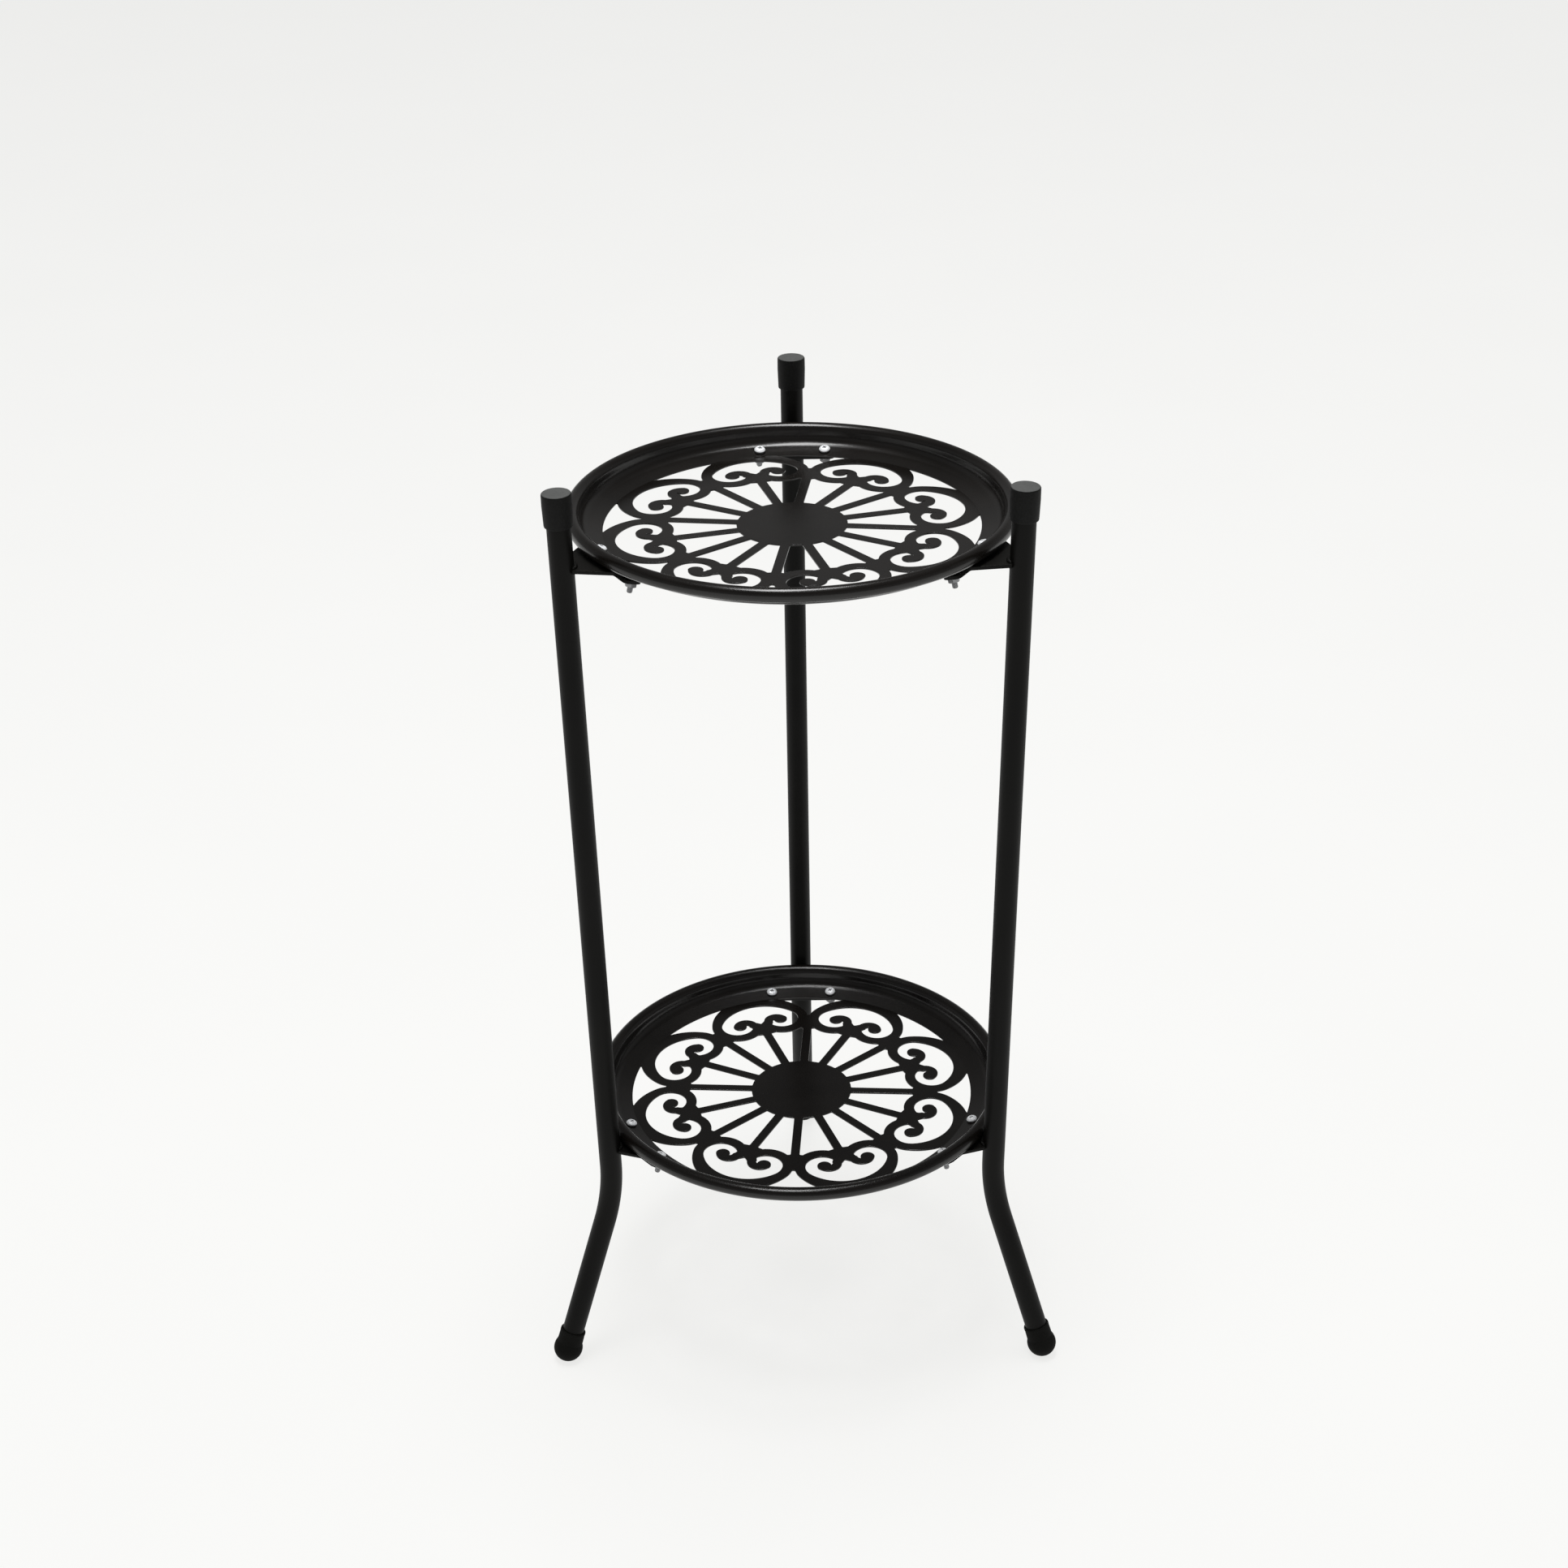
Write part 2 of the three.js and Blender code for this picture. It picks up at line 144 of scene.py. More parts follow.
def eased(points, radius, sharp=radians(18), steps=4, closed=True):
    """The same outline with every sharp corner given a small radius."""
    points = [Vector(p) for p in points]
    out = []
    for i, here in enumerate(points):
        before, after = points[i - 1], points[(i + 1) % len(points)]
        into, away = here - before, after - here
        bend = into.angle(away, 0.0)
        if bend < sharp or (not closed and i in (0, len(points) - 1)):
            out.append(here)
            continue
        reach = min(radius * tan(bend / 2), 0.45 * into.length, 0.45 * away.length)
        out += bow(here - into.normalized() * reach, here, here + away.normalized() * reach, steps)
    return out


def mirrored_outline(half):
    """A closed outline from its half above the X axis, whose two ends lie on the axis."""
    return half + [Vector((p.x, -p.y)) for p in reversed(half[1:-1])]


# ---- mesh helpers --------------------------------------------------------------------
def tidy(bm, merge=1e-4):
    bmesh.ops.remove_doubles(bm, verts=bm.verts, dist=merge)
    bmesh.ops.dissolve_degenerate(bm, edges=bm.edges, dist=1e-6)
    bmesh.ops.recalc_face_normals(bm, faces=bm.faces)
    return bm


def spun(profile, steps, closed=True):
    """A turned shape about Z from (radius, height) pairs."""
    bm = bmesh.new()
    verts = [bm.verts.new((p[0], 0, p[1])) for p in profile]
    ends = verts[1:] + verts[:1] if closed else verts[1:]
    edges = [bm.edges.new(pair) for pair in zip(verts, ends)]
    bmesh.ops.spin(bm, geom=verts + edges, cent=(0, 0, 0), axis=(0, 0, 1), dvec=(0, 0, 0),
                   angle=math.tau, steps=steps, use_merge=True, use_duplicate=False)
    return tidy(bm)


def cut_plate(outline, holes, thickness, edge):
    """A flat plate with softened edges, its top face at height 0."""
    curve = bpy.data.curves.new("outline", "CURVE")
    curve.dimensions, curve.fill_mode = "2D", "BOTH"
    curve.extrude = thickness / 2 - edge
    curve.bevel_depth, curve.bevel_resolution, curve.offset = edge, 1, -edge
    for points in [outline, *holes]:
        spline = curve.splines.new("POLY")
        spline.points.add(len(points) - 1)
        for knot, p in zip(spline.points, points):
            knot.co = (p[0], p[1], 0, 1)
        spline.use_cyclic_u = True
    holder = bpy.data.objects.new("outline", curve)
    mesh = bpy.data.meshes.new_from_object(holder)
    bm = bmesh.new()
    bm.from_mesh(mesh)
    bpy.data.objects.remove(holder)
    bpy.data.curves.remove(curve)
    bpy.data.meshes.remove(mesh)
    bmesh.ops.translate(bm, vec=(0, 0, -thickness / 2), verts=bm.verts)
    return tidy(bm, 1e-3)


def joined(*parts):
    """One bmesh from several, which are used up."""
    whole = parts[0]
    for part in parts[1:]:
        mesh = bpy.data.meshes.new("part")
        part.to_mesh(mesh)
        part.free()
        whole.from_mesh(mesh)
        bpy.data.meshes.remove(mesh)
    return whole


def stand_piece(name, bm, slot, node, place=None, sharp=17):
    """Finishes a shape as a piece on the stand that stands for one CAD node."""
    bmesh.ops.transform(bm, matrix=STAND @ (place or Matrix()), verts=bm.verts)
    mesh = bpy.data.meshes.new(name)
    bm.to_mesh(mesh)
    bm.free()
    mesh.shade_smooth()
    mesh.set_sharp_from_angle(angle=radians(sharp))
    mesh.materials.append(FINISHES[slot])
    obj = bpy.data.objects.new(name, mesh)
    bpy.context.scene.collection.objects.link(obj)
    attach(obj, "root")
    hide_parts(node)
    return obj


# ---- finishes ------------------------------------------------------------------------
class Wire:
    """A value or colour on a shader's socket. Sums on it add Math nodes."""

    def __init__(self, tree, socket=None):
        self.tree, self.socket = tree, socket

    def node(self, kind, settings=None, values=None, out=0):
        """Adds any node: its type, its settings, then its sockets' values or wires."""
        made = self.tree.nodes.new("ShaderNode" + kind)
        for key, value in (settings or {}).items():
            if key == "stops":
                ramp = made.color_ramp.elements
                while len(ramp) < len(value):
                    ramp.new(0.5)
                for stop, (where, grey) in zip(ramp, value):
                    stop.position, stop.color = where, (grey, grey, grey, 1)
            else:
                setattr(made, key, value)
        for key, value in (values or {}).items():
            if isinstance(value, Wire):
                self.tree.links.new(value.socket, made.inputs[key])
            else:
                made.inputs[key].default_value = value
        return Wire(self.tree, made.outputs[out] if len(made.outputs) else None)

    def maths(self, operation, *values, clamp=False):
        return self.node("Math", {"operation": operation, "use_clamp": clamp},
                         dict(enumerate(values)))

    def __add__(self, other):
        return self.maths("ADD", self, other)

    def __radd__(self, other):
        return self.maths("ADD", other, self)

    def __sub__(self, other):
        return self.maths("SUBTRACT", self, other)

    def __rsub__(self, other):
        return self.maths("SUBTRACT", other, self)

    def __mul__(self, other):
        return self.maths("MULTIPLY", self, other)

    def __rmul__(self, other):
        return self.maths("MULTIPLY", other, self)

    def held(self):
        """The value kept between 0 and 1."""
        return self.maths("ADD", self, 0.0, clamp=True)

    def ramp(self, start, end):
        """0 below start, 1 above end, and smooth between."""
        return self.node("MapRange", {"interpolation_type": "SMOOTHSTEP"},
                         {"Value": self, "From Min": start, "From Max": end})

    def part(self, axis):
        """One of a vector's three numbers."""
        return self.node("SeparateXYZ", values={0: self}, out=axis)

    def noise(self, scale, detail=2.0, roughness=0.5):
        """Soft random grain over the surface; this wire is the place."""
        return self.node("TexNoise", {"noise_dimensions": "3D"},
                         {"Vector": self, "Scale": scale, "Detail": detail,
                          "Roughness": roughness})

    def mixed(self, first, second):
        """One colour to another, as this wire goes from 0 to 1."""
        return self.node("Mix", {"data_type": "RGBA"}, {0: self, 6: first, 7: second}, out=2)


def finish(name, base, roughness, bump, **constants):
    """A material. Its base colour depends on place and facing, the rest on place."""
    material = bpy.data.materials.new(name)
    material.use_nodes = True
    tree = material.node_tree
    tree.nodes.clear()
    start = Wire(tree)
    place = start.node("TexCoord", out=3)
    facing = start.node("NewGeometry", out=1)
    height, strength, distance = bump(place)
    values = {
        "Base Color": base(place, facing),
        "Roughness": roughness(place),
        "Normal": start.node("Bump", None, {"Strength": strength, "Distance": distance,
                                            "Height": height}),
    }
    values.update({key.replace("_", " "): value for key, value in constants.items()})
    shader = start.node("BsdfPrincipled", None, values)
    start.node("OutputMaterial", None, {0: shader})
    return material


def shade(r, g, b):
    return (r, g, b, 1)


def dust_and_top_light(place, facing, amount):
    """Fine dust on surfaces that look up, which also serves as painted light: it makes those
    up-facing tops lighter grey.
    """
    up = facing.part(2).ramp(0.35, 0.95)
    cloud = place.noise(26, 4, 0.6).ramp(0.42, 0.72)
    speck = place.noise(1400, 1).ramp(0.6, 0.75)
    return (up * (cloud * 0.6 + speck * 0.4) * amount).held()


def leg_base(place, facing):
    tone = place.noise(14, 3).ramp(0.3, 0.7)
    coat = tone.mixed(shade(0.0026, 0.0025, 0.0021), shade(0.0042, 0.0040, 0.0034))
    return dust_and_top_light(place, facing, 0.12).mixed(coat, shade(0.04, 0.038, 0.034))


def leg_rough(place):
    return 0.40 + place.noise(30, 4, 0.6) * 0.10 + place.noise(900, 1) * 0.05


def leg_bump(place):
    peel = place.noise(620, 2) * 0.7 + place.noise(95, 2) * 0.3
    return peel, 0.30, 0.00012


def tray_base(place, facing):
    tone = place.noise(18, 3).ramp(0.3, 0.7)
    coat = tone.mixed(shade(0.0032, 0.0026, 0.0021), shade(0.0056, 0.0046, 0.0038))
    return dust_and_top_light(place, facing, 0.05).mixed(coat, shade(0.04, 0.035, 0.03))


def tray_rough(place):
    return 0.19 + place.noise(34, 4, 0.6) * 0.08 + place.noise(800, 1) * 0.03


def tray_bump(place):
    peel = place.noise(560, 2) * 0.7 + place.noise(120, 2) * 0.3
    return peel, 0.30, 0.00012


def cap_base(place, facing):
    tone = place.noise(900, 2).ramp(0.35, 0.7)
    plastic = tone.mixed(shade(0.0042, 0.0043, 0.0041), shade(0.0070, 0.0071, 0.0068))
    # Painted highlight: up-facing tops of the cap are made lighter grey, standing in for overhead
    # light falling on them.
    painted_top_light = facing.part(2).ramp(0.55, 0.98) * (0.75 + place.noise(160, 4, 0.6) * 0.4)
    return painted_top_light.held().mixed(plastic, shade(0.085, 0.087, 0.085))


def cap_rough(place):
    return 0.52 + place.noise(700, 2) * 0.16


def cap_bump(place):
    return place.noise(1500, 2) * 0.8 + place.noise(300, 2) * 0.2, 0.45, 0.00010


def rubber_base(place, facing):
    tone = place.noise(60, 4, 0.6).ramp(0.35, 0.7)
    rubber = tone.mixed(shade(0.0040, 0.0040, 0.0034), shade(0.0064, 0.0063, 0.0055))
    scuffed = (1 - place.part(2).ramp(0.0, 0.006)) * place.noise(420, 3).ramp(0.4, 0.65)
    return (scuffed * 0.6).mixed(rubber, shade(0.05, 0.047, 0.042))


def rubber_rough(place):
    return 0.72 + place.noise(240, 3) * 0.2


def rubber_bump(place):
    return place.noise(1300, 2), 0.5, 0.00010


def zinc_base(place, facing):
    spangle = place.noise(1100, 2, 0.6).ramp(0.3, 0.75)
    bright = spangle.mixed(shade(0.78, 0.80, 0.82), shade(0.94, 0.95, 0.96))
    # Painted shade: side- and down-facing zinc is made dark grey where it falls in shade;
    # up-facing zinc keeps its bright colour.
    painted_shade_zinc = spangle.mixed(shade(0.10, 0.10, 0.105), shade(0.17, 0.17, 0.175))
    return facing.part(2).ramp(0.05, 0.45).mixed(painted_shade_zinc, bright)


def zinc_rough(place):
    return 0.30 + place.noise(1500, 2) * 0.14


def zinc_bump(place):
    return place.noise(1800, 2), 0.2, 0.00004


def paper_base(place, facing):
    return place.noise(3, 2).mixed(shade(0.15, 0.15, 0.148), shade(0.17, 0.17, 0.167))


def paper_rough(place):
    return 0.9 + place.noise(40, 2) * 0.05


def paper_bump(place):
    return place.noise(300, 2), 0.1, 0.0001


FINISHES = {
    "leg_paint": finish("satin_black", leg_base, leg_rough, leg_bump, Specular_IOR_Level=0.12),
    "tray_paint": finish("warm_black", tray_base, tray_rough, tray_bump,
                         Specular_IOR_Level=0.45),
    "cap_plastic": finish("grained_plastic", cap_base, cap_rough, cap_bump,
                          Specular_IOR_Level=0.15),
    "foot_rubber": finish("matt_rubber", rubber_base, rubber_rough, rubber_bump,
                          Specular_IOR_Level=0.12),
    "fastener_zinc": finish("bright_zinc", zinc_base, zinc_rough, zinc_bump, Metallic=0.15),
}


# ---- legs, caps and feet -------------------------------------------------------------
LEAN = math.atan2(RHO_UPPER - RHO_LOWER, UPPER_Z - LOWER_Z)


def rho_at(z):
    return RHO_LOWER + (z - LOWER_Z) * tan(LEAN)


CORNER = Vector((rho_at(BEND_Z), BEND_Z))
FOOT = Vector((FOOT_RHO, FOOT_Z))
SPLAY = math.atan2(FOOT.x - CORNER.x, CORNER.y - FOOT.y)


def leg_tube():
    """Bent tube in the X-Z plane: splayed length, bend, upright length."""
    down = Vector((sin(SPLAY), -cos(SPLAY)))
    up = Vector((sin(LEAN), cos(LEAN)))
    sweep = SPLAY + LEAN
    tangent = BEND_R * tan(sweep / 2)
    start = FOOT - down * TUBE_LIFT
    bend_from = CORNER + down * tangent
    bend_to = CORNER + up * tangent
    end = Vector((rho_at(TOP_Z), TOP_Z))
    centre = bend_from + Vector((cos(SPLAY), sin(SPLAY))) * BEND_R

    def flat(v):
        return Vector((v.x, 0, v.y))

    bm = bmesh.new()
    seat = Matrix.Translation(flat(start)) @ Matrix.Rotation(-SPLAY, 4, "Y")
    for radius in (TUBE_R, TUBE_R - TUBE_WALL):
        bmesh.ops.create_circle(bm, cap_ends=False, segments=TUBE_STEPS, radius=radius,
                                matrix=seat)

    def drawn(ends, travel):
        out = bmesh.ops.extrude_edge_only(bm, edges=ends)["geom"]
        verts = [g for g in out if isinstance(g, bmesh.types.BMVert)]
        bmesh.ops.translate(bm, vec=travel, verts=verts)
        return [g for g in out if isinstance(g, bmesh.types.BMEdge)]

    first = list(bm.edges)
    ends = drawn(first, flat(bend_from - start))
    verts = list({v for e in ends for v in e.verts})
    out = bmesh.ops.spin(bm, geom=ends + verts, cent=flat(centre), axis=(0, 1, 0),
                         dvec=(0, 0, 0), angle=sweep, steps=20, use_merge=False,
                         use_duplicate=False)["geom_last"]
    ends = [g for g in out if isinstance(g, bmesh.types.BMEdge)]
    last = drawn(ends, flat(end - bend_to))
    bmesh.ops.bridge_loops(bm, edges=first)
    bmesh.ops.bridge_loops(bm, edges=last)
    return tidy(bm)


def end_cap():
    """Moulded cap over the tube's top end, open at the bottom."""
    bore, top = TUBE_R + CLEAR, CAP_LEN
    lip = (CAP_LOW_R + 0.12, 1.0)
    widest = (CAP_TOP_R, top - 9)
    shoulder = (CAP_TOP_R - 0.1, top - 0.4)
    crown = [(CAP_TOP_R - 3.2, top - 0.2), (0, top - 0.02)]
    outside = eased([(bore, 0), (CAP_LOW_R, 0), lip, widest, shoulder, *crown], CAP_EASE,
                    steps=6, closed=False)
    inside = [Vector((0, top - CAP_ROOF)), Vector((bore, top - CAP_ROOF))]
    return spun(outside + inside, TURNED_STEPS)


def rubber_foot():
    """Rubber foot along the splayed leg, its sole cut flat on the floor."""
    bore = TUBE_R + CLEAR
    ball = arc((0, 0), FOOT_BALL_R, -90, 28, 24)
    ball[0].x = 0
    rib, waist, lip = FOOT_SLEEVE_R + 0.1, FOOT_SLEEVE_R - 0.05, FOOT_SLEEVE_R - 0.4
    neck_z, waist_z = 7.6, FOOT_LEN - 2.6
    rib_low_z, rib_high_z = FOOT_LEN - 2.2, FOOT_LEN - 0.6
    sleeve = eased([ball[-1], (rib, neck_z), (waist, waist_z), (rib, rib_low_z),
                    (rib, rib_high_z), (lip, FOOT_LEN), (bore, FOOT_LEN)],
                   FOOT_EASE, sharp=radians(4), steps=6, closed=False)
    bottom = TUBE_LIFT - CLEAR
    bm = spun(ball + sleeve[1:] + [Vector((bore, bottom)), Vector((0, bottom))], TURNED_STEPS)
    seat = Matrix.Translation((FOOT.x, 0, FOOT.y)) @ Matrix.Rotation(-SPLAY, 4, "Y")
    bmesh.ops.transform(bm, matrix=seat, verts=bm.verts)
    cut = bmesh.ops.bisect_plane(bm, geom=bm.verts[:] + bm.edges[:] + bm.faces[:],
                                 plane_co=(0, 0, 0), plane_no=(0, 0, -1), clear_outer=True)
    rim = [g for g in cut["geom_cut"] if isinstance(g, bmesh.types.BMEdge)]
    bmesh.ops.holes_fill(bm, edges=rim, sides=0)
    return tidy(bm)


# ---- trays ---------------------------------------------------------------------------
HALF_PITCH = math.pi / HEARTS


def ring_height(r):
    return (r - RING_R) * tan(RING_SLOPE)


def heart_opening():
    """Inside of one heart with its two scrolls, about the X axis."""
    join = degrees(math.atan2(LOBE[1], LOBE[0] - ARC_C))
    return mirrored_outline(
        [Vector((NOTCH, 0))]
        + arc(CURL, CURL_OUT, -72, 55, 16)
        + arc(BULB, BULB_R, 75, 270, 22)
        + arc(CURL, CURL_IN, -20, -100, 7)
        + [Vector((CURL[0] - 2.2, CURL[1] - 3.9))]
        + arc(LOBE, LOBE_IN, 236, join, 26)
        + arc((ARC_C, 0), ARC_R, join, 0, 14)[1:])


def crescent_opening():
    """Opening against the ring where two hearts meet on the X axis."""
    lobe = turned((LOBE[0], -LOBE[1]), HALF_PITCH)
    valley, bulge, tip = Vector((102.2, 0)), Vector((120.4, 13)), Vector((123.9, 25.6))
    shoulder = arc(lobe, LOBE_OUT, -75.5, -52, 7)
    side = bow(shoulder[-1], bulge, tip, 10)[1:]
    tip_angle = degrees(math.atan2(tip.y + 0.6, tip.x + 0.8))
    return mirrored_outline([valley] + shoulder + side
                            + arc((0, 0), RING_R, tip_angle, 0, 10))


def gap_opening():
    """Opening between the spoke on the X axis and the next heart's spoke."""
    lobe = turned((LOBE[0], -LOBE[1]), HALF_PITCH)
    side = degrees(math.asin(SPOKE_HALF / DISC_R))
    junction_end, heart_end = 83.6, 80.4
    return (arc((0, 0), DISC_R, degrees(HALF_PITCH) - side, side, 5)
            + [Vector((junction_end, SPOKE_HALF))]
            + arc(lobe, LOBE_OUT, 228, 170, 12)
            + [turned((heart_end, -SPOKE_HALF), HALF_PITCH)])


def tray_pressing():
    """Pierced floor, sloping ring, wall and rolled edge, its floor's top at height 0."""
    holes = []
    for k in range(HEARTS):
        junction = 2 * HALF_PITCH * k
        for opening, angle, flipped in (
            (heart_opening(), junction + HALF_PITCH, 1), (crescent_opening(), junction, 1),
            (gap_opening(), junction, 1), (gap_opening(), junction, -1),
        ):
            soft = eased(opening, PIERCED_CORNER_R)
            holes.append([turned((p.x, p.y * flipped), angle) for p in soft])
    edge = arc((0, 0), SHEET_EDGE_R, 0, 360, RIM_STEPS)[:-1]
    floor = cut_plate(edge, holes, SHEET, SHEET_SOFT)

    drop = SHEET / cos(RING_SLOPE)
    roll = (WALL_R + ROLL_R, ROLL_Z)
    bend_r = WALL_R - FILLET_R
    fillet = (bend_r, ring_height(bend_r) + FILLET_R / cos(RING_SLOPE))
    toe = degrees(RING_SLOPE) - 90
    ring_from, under = RING_R - 0.5, Vector((RING_R - 0.4, -0.8))
    outer = [Vector((ring_from, ring_height(ring_from)))]
    outer += arc(fillet, FILLET_R, toe, 0, 18)
    outer += arc(roll, ROLL_R, 180, ROLL_END, 44)
    inner = arc(roll, ROLL_R - SHEET, ROLL_END, 180, 36)
    inner += arc(fillet, FILLET_R + SHEET, 0, toe, 18)
    inner += [Vector((SHEET_EDGE_R, ring_height(SHEET_EDGE_R) - drop)), under]
    rim = spun(outer + inner, RIM_STEPS)
    return joined(floor, rim)


# ---- brackets ------------------------------------------------------------------------
def screw_places(leg_angle):
    """Seats on the sloping ring, square to it, either side of a leg."""
    return [
        Matrix.Rotation(leg_angle + side * SCREW_ANGLE, 4, "Z")
        @ Matrix.Translation((SCREW_RHO, 0, ring_height(SCREW_RHO)))
        @ Matrix.Rotation(-RING_SLOPE, 4, "Y")
        for side in (-1, 1)
    ]


def weld_bead(radius, span, size, ripples):
    """A rippled bead round the Z axis, facing the stand's centre line."""
    least, rise, quarter_turn = 0.88, 0.14, 1.57
    lumpy, lump_scale, thinnest = 0.16, 0.45, 0.12
    bm = bmesh.new()
    seat = (Matrix.Rotation(radians(180) - span, 4, "Z") @ Matrix.Translation((radius, 0, 0))
            @ Matrix.Rotation(radians(90), 4, "X"))
    bmesh.ops.create_circle(bm, cap_ends=True, segments=12, radius=size, matrix=seat)
    first = bm.faces[:]
    bmesh.ops.spin(bm, geom=first + bm.edges[:] + bm.verts[:], cent=(0, 0, 0), axis=(0, 0, 1),
                   dvec=(0, 0, 0), angle=2 * span, steps=ripples * 5, use_merge=False,
                   use_duplicate=False)
    for v in bm.verts:
        angle = math.atan2(v.co.y, v.co.x) % math.tau - math.pi
        core = Vector((v.co.x, v.co.y, 0)).normalized() * radius
        along = min(1.0, abs(angle) / span)
        taper = math.sqrt(max(0.0, 1 - along ** 6))
        ripple = least + rise * abs(cos(angle / span * ripples * quarter_turn))
        lump = 1 + lumpy * noise.noise(v.co * lump_scale)
        v.co = core + (v.co - core) * max(thinnest, taper * ripple * lump)
    return tidy(bm, 1e-3)


def bracket_plate(rho):
    """Bent plate: a flange under the sloping ring, a step up and an arm welded to the leg."""
    spare = 0.15
    drop = SHEET / cos(RING_SLOPE) + CLEAR + spare
    step_z = ring_height(STEP_FROM) - drop
    flange_from = BRACKET_IN - 4
    side = eased([(flange_from, ring_height(flange_from) - drop), (STEP_FROM, step_z),
                  (STEP_FROM + ARM_Z - step_z, ARM_Z), (rho + TUBE_R, ARM_Z)],
                 STEP_BEND_R, sharp=radians(5), steps=6, closed=False)

    def top_at(r):
        for before, after in zip(side, side[1:]):
            if r <= after.x:
                break
        return before.y + (r - before.x) * (after.y - before.y) / (after.x - before.x)

    half_in, half_out = BRACKET_HALF_IN, BRACKET_HALF_OUT
    tube_at = rho + ARM_Z * tan(LEAN)
    reach, end = TUBE_R + CLEAR, 3.0
    wrap = degrees(math.acos(end / reach))
    around = arc((tube_at, 0), reach, 180 + wrap, 180 - wrap, 24)
    flange_ends = BRACKET_IN - 1, BRACKET_IN + 9.5
    corners = [Vector((x, -half_in)) for x in flange_ends] + [Vector((tube_at - end, -half_out))]
    outline = corners + around + [Vector((p.x, -p.y)) for p in reversed(corners)]
    outline = eased(outline, PLATE_CORNER_R, sharp=radians(12), steps=6)
    holes = [arc((SCREW_RHO * cos(SCREW_ANGLE), side_of * SCREW_RHO * sin(SCREW_ANGLE)),
                 HOLE_R, 0, 360, 24)[:-1] for side_of in (-1, 1)]
    bm = cut_plate(outline, holes, PLATE, PLATE_SOFT)
    for knot in side[1:-1]:
        bmesh.ops.bisect_plane(bm, geom=bm.verts[:] + bm.edges[:] + bm.faces[:],
                               plane_co=(knot.x, 0, 0), plane_no=(1, 0, 0))
    probe = 0.3
    for v in bm.verts:
        tilt = math.atan((top_at(v.co.x + probe) - top_at(v.co.x - probe)) / (2 * probe))
        v.co = Vector((v.co.x - v.co.z * sin(tilt), v.co.y, top_at(v.co.x) + v.co.z * cos(tilt)))
    bmesh.ops.recalc_face_normals(bm, faces=bm.faces)
    for top, size in ((ARM_Z + BEAD_OFF_PLATE, BEAD_TOP_SIZE),
                      (ARM_Z - PLATE - BEAD_OFF_PLATE, BEAD_UNDER_SIZE)):
        bead = weld_bead(BEAD_R, BEAD_SPAN, size, BEAD_RIPPLES)
        bmesh.ops.translate(bead, vec=(tube_at, 0, top), verts=bead.verts)
        bm = joined(bm, bead)
    return bm


# ---- fasteners: axis along Z, seat at height 0 ---------------------------------------
def cut_out(body, tool):
    """Body less tool."""
    made = []
    for part in (body, tool):
        mesh = bpy.data.meshes.new("cut")
        part.to_mesh(mesh)
        part.free()
        obj = bpy.data.objects.new("cut", mesh)
        bpy.context.scene.collection.objects.link(obj)
        made.append(obj)
    cutter = made[0].modifiers.new("cut", "BOOLEAN")
    cutter.operation, cutter.object, cutter.solver = "DIFFERENCE", made[1], "EXACT"
    bpy.context.view_layer.update()
    result = bpy.data.meshes.new_from_object(
        made[0].evaluated_get(bpy.context.evaluated_depsgraph_get()))
    bm = bmesh.new()
    bm.from_mesh(result)
    bpy.data.meshes.remove(result)
    for obj in made:
        mesh = obj.data
        bpy.data.objects.remove(obj)
        bpy.data.meshes.remove(mesh)
    return tidy(bm)


def pan_screw():
    """Pan-head screw with a cross recess, and its thread as a spun ridge."""
    seat = CLEAR
    top, end = seat + HEAD_H, seat - SCREW_LEN
    shank_r, point_r, point_len = SCREW_R - 0.22, SCREW_R - 0.6, 0.6
    under_head = [(HEAD_R - 0.1, seat), (HEAD_R, seat + 0.35)]
    dome = [(HEAD_R - 0.1, seat + 1.3), (HEAD_R - 1.1, top - 0.35), (1.6, top - 0.05), (0, top)]
    profile = eased([(0, end), (point_r, end), (shank_r, end + point_len), (shank_r, seat),
                     *under_head, *dome], 0.9, steps=4, closed=False)
    body = spun(profile, SCREW_STEPS)
    corners = (CROSS_ARM, CROSS_HALF), (CROSS_HALF, CROSS_HALF), (CROSS_HALF, CROSS_ARM)
    cross = [Vector(p) for p in corners]
    outline = [turned(p, radians(90) * k) for k in range(4) for p in cross]
    recess = cut_plate(eased(outline, 0.25), [], CROSS_LEN, 0.01)
    for v in recess.verts:
        if v.co.z < -CROSS_LEN / 2:
            v.co.xy *= CROSS_TAPER
    bmesh.ops.translate(recess, vec=(0, 0, top + CROSS_LIFT), verts=recess.verts)
    body = cut_out(body, recess)
    thread = bmesh.new()
    root, bottom, steps = SCREW_R - THREAD_DEPTH, end + 0.55, 24
    ridge = [thread.verts.new(p) for p in ((root, 0, bottom - THREAD_HALF),
                                           (SCREW_R, 0, bottom),
                                           (root, 0, bottom + THREAD_HALF))]
    edge = thread.faces.new(ridge)
    bmesh.ops.spin(thread, geom=ridge + list(edge.edges) + [edge], cent=(0, 0, 0),
                   axis=(0, 0, 1), dvec=(0, 0, THREAD_PITCH / steps),
                   angle=math.tau * THREAD_TURNS, steps=THREAD_TURNS * steps,
                   use_merge=False, use_duplicate=False)
    return joined(body, tidy(thread, 1e-5))


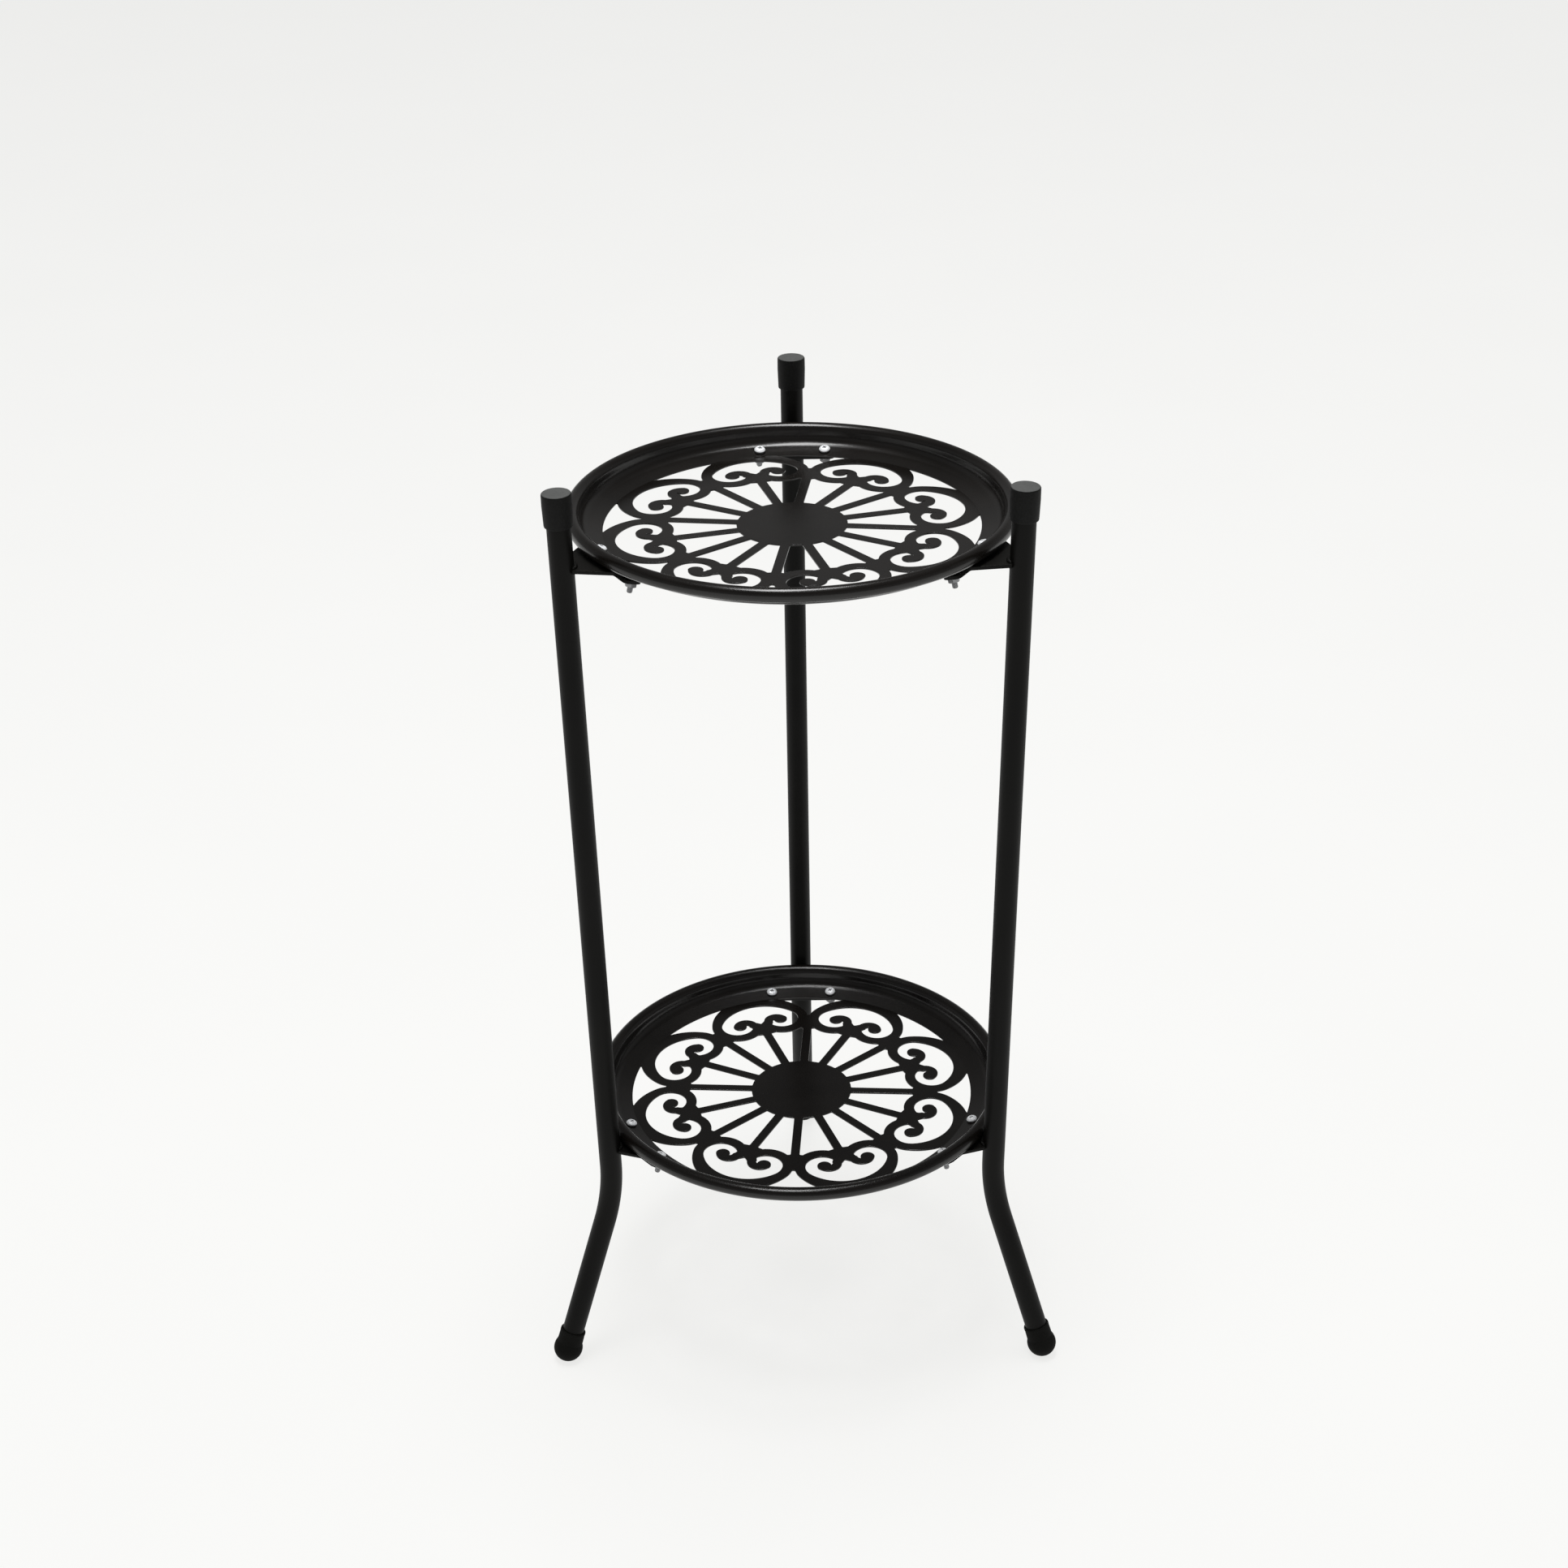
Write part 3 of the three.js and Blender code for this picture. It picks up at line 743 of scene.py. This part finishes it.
def hex_nut():
    """Hexagon nut with its corners turned off at both ends."""
    bottom = -(SHEET + PLATE + NUT_DROP) - NUT_H
    flat = NUT_R * cos(radians(30))
    turned_off = [0, 0.12, 0.24, 0.36]
    rise = turned_off + [NUT_H - h for h in reversed(turned_off)]
    bore, lead_in = SCREW_R + 0.12, 0.3
    bevel_from, bevel_slope = flat - 0.05, 1.75
    bm = bmesh.new()
    for radius, heights in ((NUT_R, rise), (bore, [0, lead_in, NUT_H - lead_in, NUT_H])):
        bmesh.ops.create_circle(bm, cap_ends=False, segments=NUT_STEPS, radius=radius,
                                matrix=Matrix.Translation((0, 0, bottom)))
        ring = [e for e in bm.edges if all(abs(v.co.xy.length - radius) < 1e-3 for v in e.verts)]
        for before, after in zip(heights, heights[1:]):
            out = bmesh.ops.extrude_edge_only(bm, edges=ring)["geom"]
            ring = [g for g in out if isinstance(g, bmesh.types.BMEdge)]
            verts = [g for g in out if isinstance(g, bmesh.types.BMVert)]
            bmesh.ops.translate(bm, vec=(0, 0, after - before), verts=verts)
    for z in (bottom, bottom + NUT_H):
        loops = [e for e in bm.edges if all(abs(v.co.z - z) < 1e-4 for v in e.verts)]
        bmesh.ops.bridge_loops(bm, edges=loops)
    for v in bm.verts:
        radius = v.co.xy.length
        end = min(v.co.z - bottom, bottom + NUT_H - v.co.z)
        if radius > (NUT_R + bore) / 2:
            away = math.atan2(v.co.y, v.co.x) % radians(60) - radians(30)
            v.co.xy *= min(flat / cos(away), bevel_from + end * bevel_slope) / radius
        elif end < lead_in / 2:
            v.co.xy *= (bore + lead_in) / radius
    return tidy(bm)


# ---- make the stand ------------------------------------------------------------------
set_camera()

for side, angle in LEG_ANGLES.items():
    arm = Matrix.Rotation(angle, 4, "Z")
    stand_piece(f"{side}_leg_tube", leg_tube(), "leg_paint", f"leg_{side}", arm)
    cap_seat = (arm @ Matrix.Translation((rho_at(TOP_Z), 0, TOP_Z)) @ Matrix.Rotation(LEAN, 4, "Y")
                @ Matrix.Translation((0, 0, CLEAR + CAP_ROOF - CAP_LEN)))
    stand_piece(f"{side}_end_cap", end_cap(), "cap_plastic", f"top_cap_{side}", cap_seat)
    stand_piece(f"{side}_rubber_foot", rubber_foot(), "foot_rubber", f"foot_{side}", arm)

for tier, (height, rho) in TIERS.items():
    level = Matrix.Translation((0, 0, height))
    stand_piece(f"{tier}_tray_pressing", tray_pressing(), "tray_paint", f"{tier}_tray",
                level @ Matrix.Rotation(TRAY_TURN[tier], 4, "Z"))
    for side, angle in LEG_ANGLES.items():
        stand_piece(f"{tier}_{side}_bracket_plate", bracket_plate(rho), "leg_paint",
                    f"{tier}_bracket_{side}", level @ Matrix.Rotation(angle, 4, "Z"))
        for i, seat in enumerate(screw_places(angle), 1):
            spin = Matrix.Rotation(radians(37 * i + 23 * len(side)), 4, "Z")
            stand_piece(f"{tier}_{side}_pan_screw_{i}", pan_screw(), "fastener_zinc",
                        f"{tier}_screw_{side}_{i}", level @ seat @ spin)
            stand_piece(f"{tier}_{side}_hex_nut_{i}", hex_nut(), "fastener_zinc",
                        f"{tier}_nut_{side}_{i}", level @ seat)


# ---- floor and light -----------------------------------------------------------------
def studio():
    scene = bpy.context.scene
    bm = bmesh.new()
    bmesh.ops.create_grid(bm, x_segments=1, y_segments=1, size=30)
    mesh = bpy.data.meshes.new("studio_floor")
    bm.to_mesh(mesh)
    bm.free()
    paper = finish("studio_paper", paper_base, paper_rough, paper_bump, Specular_IOR_Level=0.1,
                   Emission_Color=shade(1.0, 1.0, 0.985), Emission_Strength=0.78)
    mesh.materials.append(paper)
    floor = bpy.data.objects.new("studio_floor", mesh)
    scene.collection.objects.link(floor)

    world = bpy.data.worlds.new("studio")
    world.use_nodes = True
    world.node_tree.nodes.clear()
    start = Wire(world.node_tree)
    up = start.node("TexCoord").part(2)
    glow = up.ramp(0.38, 0.60).mixed(shade(0.22, 0.22, 0.22), shade(0.11, 0.11, 0.11))
    sky = start.node("Background", None, {"Color": glow, "Strength": 1.0})
    start.node("OutputWorld", None, {0: sky})
    scene.world = world

    def lamp(name, width, depth, energy, place, aim):
        light = bpy.data.lights.new(name, "AREA")
        light.shape, light.size, light.size_y, light.energy = "RECTANGLE", width, depth, energy
        obj = bpy.data.objects.new(name, light)
        obj.location = place
        obj.rotation_euler = (Vector(aim) - obj.location).to_track_quat("-Z", "Y").to_euler()
        scene.collection.objects.link(obj)
        return obj

    lamp("softbox", width=1.5, depth=0.7, energy=62.0, place=(-0.1, CENTRE.y + 0.05, 3.2),
         aim=(0, CENTRE.y, 0.4))
    fill = lamp("ceiling", width=10.0, depth=10.0, energy=170.0, place=(0, 0, 3.6), aim=(0, 0, 0))
    fill.visible_glossy = fill.visible_camera = False
    scene.view_settings.view_transform = "Standard"


studio()
